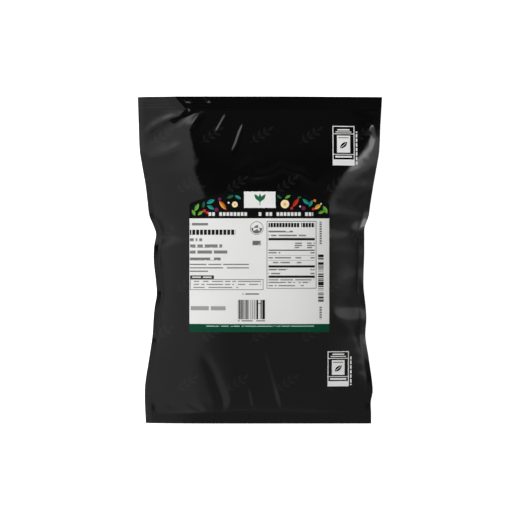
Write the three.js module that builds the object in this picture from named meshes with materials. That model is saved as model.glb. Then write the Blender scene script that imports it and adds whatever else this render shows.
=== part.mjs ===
// A sealed flat pouch filled with dried berries, lying on its back with its label up.
// Millimetres. +X runs right across the label, +Y points at the top seal and +Z is up.
// The origin is the middle of the footprint, on the surface that the pouch lies on.
import * as THREE from 'three';

// The empty bag, laid flat, is 9 in wide and 12 in high, with a seal on all four sides.
const POUCH_WIDTH = 228.6;
const POUCH_HEIGHT = 304.8;
const HALF_WIDTH = POUCH_WIDTH / 2;
const HALF_HEIGHT = POUCH_HEIGHT / 2;
const TOP_SEAL = 12.5;
const BOTTOM_SEAL = 10;
const SIDE_SEAL = 5;
const FILM = 0.6;
const SEAL_GAP = 0.3;

// The filled shape: how high the seal runs, how the end seals droop, and how far each web stands away.
const SEAM_HEIGHT_WAIST = 22;
const SEAM_HEIGHT_END = 21.5;
const TOP_DROOP = 0.2;
const BOTTOM_DROOP = 0.2;
const CROWN_Y = -10;
const FRONT_WEB = { rise: 36, across: [2.8, 0.95], upwards: [2.2, 0.95], downwards: [2.6, 0.85] };
const BACK_WEB = { rise: 31, across: [3.5, 0.62], upwards: [2.4, 0.7], downwards: [2.8, 0.62] };
const REST_BLEND = 4;

// How steeply each side's fin hangs, from the bottom to the top: height, fall per millimetre.
const LEFT_TILT = [
  [-HALF_HEIGHT, 0.5], [-95, 0.6], [-84, 0.5], [-75, 0.2], [-65, 0.5], [-52, 0.5], [-35, 0.16],
  [-18, 0.5], [-5, 0.45], [12, 0.16], [26, 0.5], [33, 0.45], [41, 0.18], [50, 0.5], [110, 0.7],
  [HALF_HEIGHT, 0.75],
];
const RIGHT_TILT = [
  [-HALF_HEIGHT, 0.3], [-108, 0.35], [-84, 0.5], [-66, 0.75], [-50, 0.85], [-38, 0.6], [-26, 0.5],
  [-10, 0.75], [24, 0.75], [34, 0.58], [45, 0.8], [60, 0.8], [100, 0.7], [114, 0.5], [122, 0.15],
  [HALF_HEIGHT, 0],
];

// Corners that bend down: each drops to the left of a line, and fades in between two heights.
const FLAPS = [
  { from: [-62, 60], to: [-73, 152], slope: 0.28, soft: 3, fade: [66, 136] },
  { from: [20, 152], to: [120, 52], slope: 0.2, soft: 8, fade: [50, 106] },
  { from: [-62, -152], to: [-72, -90], slope: 0.24, soft: 9, fade: [-96, -138] },
];

// The top seal is pressed by a ribbed jaw.
const RIB_PITCH = 3.125;
const RIB_HEIGHT = 0.25;

// Where the filling pulls the sides in, from the bottom to the top: height, reach from the middle.
const LEFT_EDGE = [
  [-HALF_HEIGHT, 106.8], [-120, 107.4], [-93, 103.5], [-71, 100.2], [-54, 99.1], [-44, 98.1],
  [-31.7, 96.1], [-20, 96.9], [0, 99.0], [13, 98.6], [24.2, 96.9], [32, 99.2],
  [41, 103], [52, 104.5], [69, 106.5], [86, 109.5], [102, 112.2], [125, 113.3],
  [HALF_HEIGHT, HALF_WIDTH],
];
const RIGHT_EDGE = [
  [-HALF_HEIGHT, 103.6], [-143, 103.5], [-132.2, 103.2], [-121, 105], [-93, 101.5], [-71, 98.2],
  [-54, 99.1], [-43, 98.4], [-26, 96.5], [-15, 96.4], [7, 97.1], [20, 97.1], [30, 97.3],
  [41, 101.2], [52, 102.8], [69, 105.5], [86, 108.6], [102, 111.3], [125, 112.4],
  [HALF_HEIGHT, HALF_WIDTH],
];

// Where the side seals buckle: side, height along the pouch, lift, half length, reach inwards.
const PUCKERS = [
  { side: -1, y: 25, lift: -2.4, length: 9, reach: 14 },
  { side: -1, y: -32, lift: 2, length: 11, reach: 18 },
  { side: 1, y: 47, lift: -2, length: 9, reach: 15 },
  { side: 1, y: 27, lift: 3.4, length: 9, reach: 8 },
  { side: 1, y: -21, lift: 1.2, length: 13, reach: 18 },
  { side: 1, y: -44, lift: -1.6, length: 9, reach: 16 },
];

// Broad folds of each web: start x, y, end x, y, height and half width.
const FRONT_FOLDS = [
  [-106, 112, -84, 115, -0.8, 8],
  [-60, 114, -112, 91, 1.3, 6],
  [-55, -82, -30, -142, -0.9, 7],
  [104, -41, 64, -46, -0.8, 8],
  [62, -39, 110, -97, 1.2, 9],
];
const BACK_FOLDS = [
  [-96, 24, -70, 34, 3, 7],
  [96, 22, 72, 10, 3, 7],
  [-104, 118, -62, 84, 2.5, 8],
  [100, 116, 58, 92, 2.5, 8],
  [-92, -128, -62, -96, 2, 7],
  [92, -126, 60, -104, 2, 7],
];
const FOLD_TAPER = 0.3;
const FOLD_FADE = 8;
const LABEL_STIFFENS = 8;

// The paper label on the front web. Its top edge is an arc.
const LABEL_WIDTH = 129.2;
const LABEL_CENTRE_X = -0.6;
const LABEL_BOTTOM = -66.5;
const LABEL_SHOULDER = 52.6;
const LABEL_CROWN = 64.2;
const LABEL_CORNER = 2;
const LABEL_PAPER = 0.35;
const LABEL_GAP = 0.4;

// The berries have settled over the back web and leave air above them.
const BERRY_LEVEL = 23.5;
const BERRY_MOUND = 3;
const BERRY_RISE = 1.5;
const BERRY_INSET = 13;
const BERRY_TOP = 118;
const BERRY_BOTTOM = -132;
const BERRY_GAP = 1.2;
const BERRY_CORNER = 0.3;
const HEADSPACE = 2;

// Grid sizes.
const WEB_COLUMNS = 24;
const WEB_ROWS = 32;
const TOP_SEAL_ROWS = 8;
const LABEL_CELLS = 18;
const BERRY_COLUMNS = 28;
const BERRY_ROWS = 38;

const TOP_LINE = HALF_HEIGHT - TOP_SEAL;
const BOTTOM_LINE = BOTTOM_SEAL - HALF_HEIGHT;

const { clamp, lerp, smoothstep } = THREE.MathUtils;

function bell(distance, width) {
  return Math.exp(-((distance / width) ** 2));
}

// Rises smoothly from 0 to 1 between two values, which may be in either order.
function easeBetween(value, from, to) {
  return smoothstep((value - from) / (to - from), 0, 1);
}

// The slope of an edge at one of its points, from the points on each side.
function slopeAt(edge, i) {
  const before = edge[Math.max(i - 1, 0)];
  const after = edge[Math.min(i + 1, edge.length - 1)];
  return (after[1] - before[1]) / (after[0] - before[0]);
}

// A smooth curve through an edge's points, read at height y.
function reachAt(edge, y) {
  let i = 0;
  while (i < edge.length - 2 && edge[i + 1][0] < y) i += 1;
  const [y0, reach0] = edge[i];
  const [y1, reach1] = edge[i + 1];
  const span = y1 - y0;
  const t = clamp((y - y0) / span, 0, 1);
  const ease = t * t * (3 - 2 * t);
  const leaving = t * (1 - t) * (1 - t) * span * slopeAt(edge, i);
  const arriving = t * t * (1 - t) * span * slopeAt(edge, i + 1);
  return lerp(reach0, reach1, ease) + leaving - arriving;
}

// The inner lines of the two side seals at height y.
function sideLines(y) {
  return { left: SIDE_SEAL - reachAt(LEFT_EDGE, y), right: reachAt(RIGHT_EDGE, y) - SIDE_SEAL };
}

// How far the corners have bent down at a point.
function flapDrop(x, y) {
  let drop = 0;
  for (const { from, to, slope, soft, fade } of FLAPS) {
    const runX = to[0] - from[0];
    const runY = to[1] - from[1];
    const beyond = ((y - from[1]) * runX - (x - from[0]) * runY) / Math.hypot(runX, runY);
    const eased = soft * Math.log1p(Math.exp(beyond / soft));
    drop += slope * eased * easeBetween(y, fade[0], fade[1]);
  }
  return drop;
}

// How far the end seals have drooped at height y.
function droop(y) {
  return TOP_DROOP * Math.max(y - TOP_LINE, 0) + BOTTOM_DROOP * Math.max(BOTTOM_LINE - y, 0);
}

// Height of the middle of the seal, carried on across the pouch between the side seals.
function seamHeight(x, y) {
  const { left, right } = sideLines(y);
  const outside = Math.max(x - right, left - x, 0);
  const tilt = reachAt(x < 0 ? LEFT_TILT : RIGHT_TILT, y);
  const level = lerp(SEAM_HEIGHT_WAIST, SEAM_HEIGHT_END, (y / HALF_HEIGHT) ** 2);
  let z = level - tilt * outside - flapDrop(x, y) - droop(y);
  for (const { side, y: middle, lift, length, reach } of PUCKERS) {
    const inwards = side > 0 ? right - x : x - left;
    z += lift * bell(y - middle, length) * bell(Math.max(inwards, 0), reach);
  }
  return z;
}

// The ribs of the top seal: a zigzag from the seal's inner line to the edge.
function ribHeight(y) {
  if (y <= TOP_LINE) return 0;
  const phase = ((y - TOP_LINE) / RIB_PITCH) % 1;
  return RIB_HEIGHT * (1 - Math.abs(2 * phase - 1));
}

// How far a web stands away from the seam at a point.
function bulge(web, x, y) {
  const { left, right } = sideLines(y);
  const line = y > CROWN_Y ? TOP_LINE : BOTTOM_LINE;
  const [power, ease] = y > CROWN_Y ? web.upwards : web.downwards;
  const along = Math.min(Math.abs((y - CROWN_Y) / (line - CROWN_Y)), 1);
  const over = Math.min(Math.abs((2 * x - left - right) / (right - left)), 1);
  const lengthwise = (1 - along ** power) ** ease;
  const crosswise = (1 - over ** web.across[0]) ** web.across[1];
  return web.rise * lengthwise * crosswise;
}

// How far a point lies outside the label.
function besideLabel(x, y) {
  const beside = Math.max(Math.abs(x - LABEL_CENTRE_X) - LABEL_WIDTH / 2, 0);
  const beyond = Math.max(LABEL_BOTTOM - y, y - LABEL_CROWN, 0);
  return Math.hypot(beside, beyond);
}

// Folds taper at both ends, and fade out at a seal and, on the front, near the stiff label.
function foldHeight(folds, x, y) {
  const { left, right } = sideLines(y);
  const free = folds === FRONT_FOLDS ? besideLabel(x, y) - LABEL_STIFFENS : Infinity;
  const inside = Math.min(x - left, right - x, TOP_LINE - y, y - BOTTOM_LINE, free);
  let z = 0;
  for (const [x0, y0, x1, y1, height, width] of folds) {
    const runX = x1 - x0;
    const runY = y1 - y0;
    const share = ((x - x0) * runX + (y - y0) * runY) / (runX * runX + runY * runY);
    const t = clamp(share, 0, 1);
    const taper = smoothstep(Math.min(t, 1 - t), 0, FOLD_TAPER);
    z += height * taper * bell(Math.hypot(x - x0 - t * runX, y - y0 - t * runY), width);
  }
  return z * smoothstep(inside, 0, FOLD_FADE);
}

// Outer face of the front web.
function frontHeight(x, y) {
  const proud = FILM + SEAL_GAP / 2;
  const lift = seamHeight(x, y) + ribHeight(y) + proud;
  return lift + bulge(FRONT_WEB, x, y) + foldHeight(FRONT_FOLDS, x, y);
}

// Outer face of the back web, pressed flat where the pouch rests on the surface.
function backHeight(x, y) {
  const proud = FILM + SEAL_GAP / 2;
  const lift = seamHeight(x, y) + ribHeight(y) - proud;
  const hanging = lift - bulge(BACK_WEB, x, y) + foldHeight(BACK_FOLDS, x, y);
  if (hanging > REST_BLEND) return hanging;
  return Math.max(hanging + REST_BLEND, 0) ** 2 / (4 * REST_BLEND);
}

// The film's thickness measured straight up: more on a steep wall, and the plain film at the seals.
function uprightFilm(height, web, x, y) {
  const step = 0.5;
  const slopeX = (height(x + step, y) - height(x - step, y)) / (2 * step);
  const slopeY = (height(x, y + step) - height(x, y - step)) / (2 * step);
  const steepness = Math.min(Math.hypot(1, slopeX, slopeY), 2.2);
  return FILM * lerp(1, steepness, smoothstep(bulge(web, x, y), 0, 5));
}

// A closed sheet: an upper and a lower grid of points, joined round their rim.
function closedSheet(columns, rows, upper, lower) {
  const across = columns + 1;
  const layer = across * (rows + 1);
  const positions = [];
  for (const surface of [upper, lower]) {
    for (let j = 0; j <= rows; j += 1) {
      for (let i = 0; i <= columns; i += 1) positions.push(...surface(i, j));
    }
  }
  const faces = [];
  for (let j = 0; j < rows; j += 1) {
    for (let i = 0; i < columns; i += 1) {
      const a = j * across + i;
      const b = a + 1;
      const c = b + across;
      const d = a + across;
      const halves = (i + j) % 2 ? [[a, b, c], [a, c, d]] : [[a, b, d], [b, c, d]];
      for (const [p, q, r] of halves) faces.push(p, q, r, layer + p, layer + r, layer + q);
    }
  }
  const rim = [];
  for (let i = 0; i < columns; i += 1) rim.push(i);
  for (let j = 0; j < rows; j += 1) rim.push(j * across + columns);
  for (let i = columns; i > 0; i -= 1) rim.push(rows * across + i);
  for (let j = rows; j > 0; j -= 1) rim.push(j * across);
  rim.forEach((here, index) => {
    const next = rim[(index + 1) % rim.length];
    faces.push(layer + here, layer + next, next, layer + here, next, here);
  });
  const geometry = new THREE.BufferGeometry();
  geometry.setAttribute('position', new THREE.Float32BufferAttribute(positions, 3));
  geometry.setIndex(faces);
  geometry.computeVertexNormals();
  return geometry;
}

// Even steps from 0 to 1, drawn closer together towards both ends.
function closerAtEnds(t) {
  return t - Math.sin(2 * Math.PI * t) / (4 * Math.PI);
}

// The rows of a web, from the bottom edge through both seal lines to the top edge.
function webRows() {
  const rows = [-HALF_HEIGHT];
  for (let j = 0; j <= WEB_ROWS; j += 1) rows.push(lerp(BOTTOM_LINE, TOP_LINE, j / WEB_ROWS));
  for (let j = 1; j <= TOP_SEAL_ROWS; j += 1) rows.push(TOP_LINE + (TOP_SEAL * j) / TOP_SEAL_ROWS);
  return rows;
}

// The columns of a web at height y, from the left edge through both seal lines to the right edge.
function webColumn(i, y) {
  const { left, right } = sideLines(y);
  if (i === 0) return left - SIDE_SEAL;
  if (i === WEB_COLUMNS + 2) return right + SIDE_SEAL;
  return lerp(left, right, closerAtEnds((i - 1) / WEB_COLUMNS));
}

function webGeometry(height, web, outward) {
  const rows = webRows();
  const outer = (i, j) => {
    const x = webColumn(i, rows[j]);
    return [x, rows[j], height(x, rows[j])];
  };
  const inner = (i, j) => {
    const [x, y, z] = outer(i, j);
    return [x, y, z - outward * uprightFilm(height, web, x, y)];
  };
  const [upper, lower] = outward > 0 ? [outer, inner] : [inner, outer];
  return closedSheet(WEB_COLUMNS + 2, rows.length - 1, upper, lower);
}

// The label's top edge: a shallow arc with small round corners.
function labelTop(x) {
  const rise = LABEL_CROWN - LABEL_SHOULDER;
  const half = LABEL_WIDTH / 2;
  const radius = (half * half + rise * rise) / (2 * rise);
  const arc = LABEL_CROWN - radius + Math.sqrt(radius * radius - x * x);
  const corner = Math.max(LABEL_CORNER - (half - Math.abs(x)), 0);
  return arc - LABEL_CORNER + Math.sqrt(LABEL_CORNER ** 2 - corner ** 2);
}

function labelGeometry() {
  const place = (i, j) => {
    const x = (i / LABEL_CELLS - 0.5) * LABEL_WIDTH;
    const y = lerp(LABEL_BOTTOM, labelTop(x), j / LABEL_CELLS);
    return [x + LABEL_CENTRE_X, y];
  };
  const sheet = (gap) => (i, j) => {
    const [x, y] = place(i, j);
    return [x, y, frontHeight(x, y) + gap];
  };
  return closedSheet(LABEL_CELLS, LABEL_CELLS, sheet(LABEL_GAP + LABEL_PAPER), sheet(LABEL_GAP));
}

// The heap of berries: level with a low mound, one blunt bump to every second grid point.
function contentsGeometry() {
  const place = (i, j) => {
    const along = (2 * j) / BERRY_ROWS - 1;
    const y = lerp(BERRY_BOTTOM, BERRY_TOP, j / BERRY_ROWS);
    const { left, right } = sideLines(y);
    const middle = (left + right) / 2;
    const half = ((right - left) / 2 - BERRY_INSET) * (1 - BERRY_CORNER * along ** 6);
    return [middle + half * ((2 * i) / BERRY_COLUMNS - 1), y];
  };
  const lower = (i, j) => {
    const [x, y] = place(i, j);
    return [x, y, backHeight(x, y) + uprightFilm(backHeight, BACK_WEB, x, y) + BERRY_GAP];
  };
  const upper = (i, j) => {
    const [x, y, floor] = lower(i, j);
    const over = (2 * i) / BERRY_COLUMNS - 1;
    const along = (2 * j) / BERRY_ROWS - 1;
    const atRim = Math.max(Math.abs(over), Math.abs(along)) > 0.99;
    const bump = (i + j) % 2 || atRim ? 0 : BERRY_RISE * (1 + 0.3 * Math.sin(7 * i + 3 * j));
    const heap = BERRY_LEVEL + BERRY_MOUND * (1 - over * over) * (1 - along * along) + bump;
    const roof = frontHeight(x, y) - uprightFilm(frontHeight, FRONT_WEB, x, y) - HEADSPACE;
    return [x, y, Math.max(Math.min(heap, roof), floor + 1)];
  };
  return closedSheet(BERRY_COLUMNS, BERRY_ROWS, upper, lower);
}

const blackFilm = new THREE.MeshStandardMaterial({ color: 0x0b0b0c, roughness: 0.14, metalness: 0 });
const labelPaper = new THREE.MeshStandardMaterial({ color: 0xe6e5e0, roughness: 0.45, metalness: 0 });
const driedBerry = new THREE.MeshStandardMaterial({ color: 0x24121c, roughness: 0.75, metalness: 0 });

function piece(name, geometry, material) {
  const mesh = new THREE.Mesh(geometry, material);
  mesh.name = name;
  return mesh;
}

const group = new THREE.Group();
group.add(
  piece('back_panel', webGeometry(backHeight, BACK_WEB, -1), blackFilm.clone()),
  piece('contents', contentsGeometry(), driedBerry),
  piece('front_panel', webGeometry(frontHeight, FRONT_WEB, 1), blackFilm),
  piece('label', labelGeometry(), labelPaper),
);

export default group;
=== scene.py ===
"""A sealed black film pouch of dried berries with a paper label, lying on its back."""

import math

import bpy
import numpy as np
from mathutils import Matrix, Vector


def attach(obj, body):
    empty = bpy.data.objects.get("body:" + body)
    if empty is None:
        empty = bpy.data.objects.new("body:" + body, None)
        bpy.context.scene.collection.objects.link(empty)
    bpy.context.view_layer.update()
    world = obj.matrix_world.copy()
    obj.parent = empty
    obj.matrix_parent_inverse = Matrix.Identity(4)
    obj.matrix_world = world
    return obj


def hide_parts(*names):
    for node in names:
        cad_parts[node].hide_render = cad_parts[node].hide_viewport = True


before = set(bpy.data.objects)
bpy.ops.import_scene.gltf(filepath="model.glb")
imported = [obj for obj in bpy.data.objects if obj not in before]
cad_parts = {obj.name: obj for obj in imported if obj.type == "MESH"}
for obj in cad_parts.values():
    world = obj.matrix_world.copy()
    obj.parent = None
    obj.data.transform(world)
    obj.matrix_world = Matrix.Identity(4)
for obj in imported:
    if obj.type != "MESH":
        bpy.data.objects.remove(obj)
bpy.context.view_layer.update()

MM = 0.001

# ---------------------------------------------------------------------------------------------
# Sizes in millimetres. The outline, heights and broad folds follow the solids. The film and the
# paper are thinner here, the bottom seal starts to droop further in, and small creases are added.
# ---------------------------------------------------------------------------------------------
HALF_HEIGHT = 152.4
TOP_SEAL = 12.5
BOTTOM_SEAL = 10
SIDE_SEAL = 5
TOP_LINE = HALF_HEIGHT - TOP_SEAL
BOTTOM_LINE = BOTTOM_SEAL - HALF_HEIGHT
FILM = 0.2

SEAM_HEIGHT_WAIST = 22
SEAM_HEIGHT_END = 21.5
TOP_DROOP = 0.2
BOTTOM_DROOP = 0.2
DROOP_START = 2

# How steeply each side's fin hangs: height along the pouch, then the fall for each millimetre.
LEFT_TILT = [
    (-152.4, 0.5), (-95, 0.6), (-84, 0.5), (-75, 0.2), (-65, 0.5), (-52, 0.5), (-35, 0.16), (-18, 0.5),
    (-5, 0.45), (12, 0.16), (26, 0.5), (33, 0.45), (41, 0.18), (50, 0.5), (110, 0.7), (152.4, 0.75),
]
RIGHT_TILT = [
    (-152.4, 0.3), (-108, 0.35), (-84, 0.5), (-66, 0.75), (-50, 0.85), (-38, 0.6), (-26, 0.5), (-10, 0.75),
    (24, 0.75), (34, 0.58), (45, 0.8), (60, 0.8), (100, 0.7), (114, 0.5), (122, 0.15), (152.4, 0),
]

# How each web stands away from the seam: its rise, then the power and ease of its curve each way.
CROWN_Y = -10
FRONT_WEB = {"rise": 36, "across": (2.8, 0.95), "upwards": (2.2, 0.95), "downwards": (2.6, 0.85)}
BACK_WEB = {"rise": 31, "across": (3.5, 0.62), "upwards": (2.4, 0.7), "downwards": (2.8, 0.62)}
REST_BLEND = 4

# Corners that bend down: each drops to the left of a line, and fades in over these heights.
FLAPS = [
    {"start": (-62, 60), "end": (-73, 152), "slope": 0.28, "soft": 3, "fade": (66, 136)},
    {"start": (20, 152), "end": (120, 52), "slope": 0.2, "soft": 8, "fade": (50, 106)},
    {"start": (-62, -152), "end": (-72, -90), "slope": 0.24, "soft": 9, "fade": (-96, -138)},
]

RIB_PITCH = 3.125
RIB_HEIGHT = 0.07

# How far out each side edge is: height along the pouch, then the distance from the middle line.
LEFT_EDGE = [
    (-152.4, 106.8), (-120, 107.4), (-93, 103.5), (-71, 100.2), (-54, 99.1), (-44, 98.1),
    (-31.7, 96.1), (-20, 96.9), (0, 99.0), (13, 98.6), (24.2, 96.9), (32, 99.2),
    (41, 103), (52, 104.5), (69, 106.5), (86, 109.5), (102, 112.2), (125, 113.3), (152.4, 114.3),
]
RIGHT_EDGE = [
    (-152.4, 103.6), (-143, 103.5), (-132.2, 103.2), (-121, 105), (-93, 101.5), (-71, 98.2),
    (-54, 99.1), (-43, 98.4), (-26, 96.5), (-15, 96.4), (7, 97.1), (20, 97.1), (30, 97.3),
    (41, 101.2), (52, 102.8), (69, 105.5), (86, 108.6), (102, 111.3), (125, 112.4), (152.4, 114.3),
]

# Where the side seals buckle: side, height along the pouch, lift, half length, reach inwards.
PUCKERS = [
    (-1, 25, -2.4, 9, 14), (-1, -32, 2, 11, 18),
    (1, 47, -2, 9, 15), (1, 27, 3.4, 9, 8), (1, -21, 1.2, 13, 18), (1, -44, -1.6, 9, 16),
]

# Folds of the film: the points of each one's crest, then its height and half width.
FRONT_FOLDS = [
    ([(-106, 112), (-84, 115)], -0.8, 8), ([(100.5, 117), (103.5, 128)], 1.4, 3),
    ([(104, -41), (64, -46)], -0.8, 8), ([(62, -39), (110, -97)], 1.2, 9),
]
BACK_FOLDS = [
    ([(-96, 24), (-70, 34)], 3, 7), ([(96, 22), (72, 10)], 3, 7), ([(-104, 118), (-62, 84)], 2.5, 8),
    ([(100, 116), (58, 92)], 2.5, 8), ([(-92, -128), (-62, -96)], 2, 7), ([(92, -126), (60, -104)], 2, 7),
]
FOLD_FADE = 6
CREASE_TAPER = 0.3

# Small creases of the film, listed as the folds are.
FRONT_CREASES = [
    ([(-62, 144), (-85, 128)], 0.32, 2.8), ([(-54.5, 145), (-83.5, 122)], -0.6, 3.2),
    ([(-44.5, 148), (-68.5, 119)], 1.55, 3.8),
    ([(-76, 136), (-94.5, 127), (-102, 122.5), (-112, 113)], 1.6, 3.8),
    ([(-68, 109), (-83, 101), (-94.5, 97), (-112, 91)], 0.85, 5.2),
    ([(-42, 115), (-28.5, 140)], 0.9, 1.8),
    ([(-11.5, 134), (-18, 118.2), (-21.8, 107), (-28, 94)], 0.8, 1.8),
    ([(-33, 71), (-9, 91), (-7, 77.5), (8, 79), (19, 86), (39, 80), (50, 71), (68, 86)], 0.8, 3.6),
    ([(-55, -82), (-43.2, -106), (-39.5, -117), (-30, -142)], -0.9, 5),
    ([(4.5, -70), (9.5, -91), (13.6, -106), (24, -146)], 0.8, 3.6), ([(-9, -114), (-4, -141)], 0.4, 2.8),
    ([(-70, -131), (-50, -143)], -0.5, 3), ([(-106, -126), (-94, -143)], -0.9, 3.4),
    ([(-87, -129), (-78, -142)], -0.6, 3), ([(46, -112), (49, -144)], 0.4, 5),
]
BACK_CREASES = [
    ([(-60, 132), (-44, 104)], -0.8, 3.4), ([(-20, 134), (-6, 92)], -0.6, 3),
    ([(34, 134), (22, 98)], -0.9, 3.6), ([(70, 134), (58, 110)], -0.6, 3),
    ([(-70, -132), (-46, -98)], -0.8, 3.4), ([(-14, -134), (-10, -96)], -0.6, 3),
    ([(40, -134), (30, -94)], -0.9, 3.6), ([(78, -130), (56, -106)], -0.6, 3),
    ([(-92, 60), (-66, 52)], -0.7, 4), ([(92, 64), (64, 50)], -0.7, 4),
    ([(-90, -70), (-64, -60)], -0.7, 4), ([(90, -76), (62, -62)], -0.7, 4),
]

# Creases pressed into the top seal, which bend both webs.
SEAL_CREASES = [
    ([(-88, 159), (-58, 133)], 1.2, 3.6), ([(-72, 148.4), (-62, 147.6)], 0.75, 1.5),
    ([(-53.5, 152.5), (-45, 147)], 0.75, 1.5),
]
SEAL_CREASE_FADE = (136, 141)

# Small waves of the film: the pitch and height of each, and where they start or fade.
WAVES = 9
WAVE_STRETCH = (0.7, 1.4)
SWELL = {"pitch": 36, "height": 0.16}
CRUMPLE = {"pitch": 70, "height": 0.3, "soft": 0.35}
GATHERS = {"pitch": 14, "height": 0.2, "depth": 6, "wander": 2.2}
SEAL_RIPPLE = {"pitch": 19, "height": 0.2}
RIPPLE_FADE = 20
LOOSE_TOP = (60, 125)
RELIEF_FADE = 7
FRONT_RELIEF = 0.42
BACK_RELIEF = 1.3
LABEL_STIFFENS = 8
LABEL_SWELL = {"pitch": 90, "height": 0.12}

# Seeds of what is drawn by chance.
FRONT_SEED = 11
BACK_SEED = 71
LEFT_SEED = 41
RIGHT_SEED = 43
LABEL_SEED = 3
BERRY_SEED = 5

LABEL_WIDTH = 129.2
LABEL_CENTRE_X = -0.6
LABEL_BOTTOM = -66.5
LABEL_SHOULDER = 52.6
LABEL_CROWN = 64.2
LABEL_CORNER = 2
LABEL_PAPER = 0.12
LABEL_GAP = 0.04

# The berries inside, which have settled over the back web and leave air above them.
BERRY_PITCH = 4.4
BERRY_RADIUS = 2.9
BERRY_LEAST = 0.75
BERRY_SPREAD = 0.4
BERRY_SCATTER = (0.15, 0.85)
BERRY_STAGGER = 1.1
BERRY_TABLE = 97
HEAP_SEGMENTS = 420
HEAP_RINGS = 170
HEAP_CORNER = 7
HEAP_SHOULDER = 12
HEAP_MIDDLE_Y = -7
HEAP_HALF_LENGTH = 125
HEAP_INSET = 13
HEAP_LEVEL = 21.5
HEAP_MOUND = 3
HEAP_GAP = 1
HEAP_RIM = 1
HEAP_HEADSPACE = 3


# ---------------------------------------------------------------------------------------------
# Shape: heights over the pouch's plan, worked out for whole arrays of points at once.
# ---------------------------------------------------------------------------------------------
def bell(distance, width):
    """1 at no distance, fading smoothly over about a width."""
    return np.exp(-((distance / width) ** 2))


def smooth_step(value, low, high):
    """0 up to low, 1 from high on and smooth between them."""
    t = np.clip((value - low) / (high - low), 0, 1)
    return t * t * (3 - 2 * t)


def reach_at(edge, y):
    """A smooth curve through an edge's points, read at the heights y."""
    at = np.array([point[0] for point in edge])
    reach = np.array([point[1] for point in edge])
    before = np.r_[0, np.arange(len(at) - 1)]
    after = np.r_[np.arange(1, len(at)), len(at) - 1]
    slope = (reach[after] - reach[before]) / (at[after] - at[before])
    i = np.clip(np.searchsorted(at, y) - 1, 0, len(at) - 2)
    span = at[i + 1] - at[i]
    t = np.clip((y - at[i]) / span, 0, 1)
    ease = t * t * (3 - 2 * t)
    leaving = t * (1 - t) ** 2 * span * slope[i]
    arriving = t * t * (1 - t) * span * slope[i + 1]
    return reach[i] + (reach[i + 1] - reach[i]) * ease + leaving - arriving


def side_lines(y):
    """The inner lines of the two side seals."""
    return SIDE_SEAL - reach_at(LEFT_EDGE, y), reach_at(RIGHT_EDGE, y) - SIDE_SEAL


def flap_drop(x, y):
    """How far the corners have bent down."""
    drop = 0
    for flap in FLAPS:
        (start_x, start_y), (end_x, end_y) = flap["start"], flap["end"]
        run_x, run_y = end_x - start_x, end_y - start_y
        beyond = ((y - start_y) * run_x - (x - start_x) * run_y) / math.hypot(run_x, run_y)
        eased = flap["soft"] * np.logaddexp(0, beyond / flap["soft"])
        drop = drop + flap["slope"] * eased * smooth_step(y, *flap["fade"])
    return drop


def swell(x, y, pitch, seed):
    """A smooth field of crossing waves of about unit height."""
    draw = np.random.default_rng(seed)
    headings = draw.uniform(0, np.pi, WAVES)
    starts = draw.uniform(0, 2 * np.pi, WAVES)
    stretches = draw.uniform(*WAVE_STRETCH, WAVES)
    total = 0
    for heading, start, stretch in zip(headings, starts, stretches):
        travel = x * math.cos(heading) + y * math.sin(heading)
        total = total + np.sin(2 * np.pi * travel / (pitch * stretch) + start)
    return total * math.sqrt(2 / WAVES)


def gathers(along, inwards, seed):
    """Short waves that run in from a seal and die away."""
    pitch, depth = GATHERS["pitch"], GATHERS["depth"]
    start = GATHERS["wander"] * swell(along, 0 * along, 5 * pitch, seed)
    strength = 0.6 + 0.4 * swell(along, 0 * along, 4 * pitch, seed + 1)
    share = np.maximum(inwards, 0) / depth
    wave = GATHERS["height"] * strength * np.cos(2 * np.pi * along / pitch + start)
    return wave * share * np.exp(1 - share)


def film_relief(x, y, seed, strength):
    """The film's own small waves and creases: none on the seals, and few where the label stiffens it."""
    left, right = side_lines(y)
    inside = np.minimum(np.minimum(x - left, right - x), np.minimum(TOP_LINE - y, y - BOTTOM_LINE))
    loose = smooth_step(inside, 0, RELIEF_FADE) * (1 + 0.4 * smooth_step(y, *LOOSE_TOP))
    ridge = swell(x, y, CRUMPLE["pitch"], seed)
    crumple = -CRUMPLE["height"] * np.sqrt(ridge ** 2 + CRUMPLE["soft"] ** 2)
    z = loose * (SWELL["height"] * swell(x, y, SWELL["pitch"], seed + 1) + crumple)
    z = z + gathers(y, x - left, seed + 2) + gathers(y, right - x, seed + 4)
    z = z + gathers(x, TOP_LINE - y, seed + 6) + gathers(x, y - BOTTOM_LINE, seed + 8)
    return strength * z


def crease_height(creases, x, y):
    """Soft ridges and valleys along lines of points, tapered at both ends."""
    z = 0 * x
    for line, height, width in creases:
        points = np.array(line, dtype=float)
        runs = points[1:] - points[:-1]
        lengths = np.hypot(runs[:, 0], runs[:, 1])
        starts = np.r_[0, np.cumsum(lengths)] / lengths.sum()
        away = np.full(np.shape(x), np.inf)
        share = np.zeros(np.shape(x))
        for (x0, y0), (run_x, run_y), length, start in zip(points, runs, lengths, starts):
            t = np.clip(((x - x0) * run_x + (y - y0) * run_y) / length ** 2, 0, 1)
            reach = np.hypot(x - x0 - t * run_x, y - y0 - t * run_y)
            share = np.where(reach < away, start + t * length / lengths.sum(), share)
            away = np.minimum(away, reach)
        taper = smooth_step(np.minimum(share, 1 - share), 0, CREASE_TAPER)
        z = z + height * taper * bell(away, width)
    return z


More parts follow.
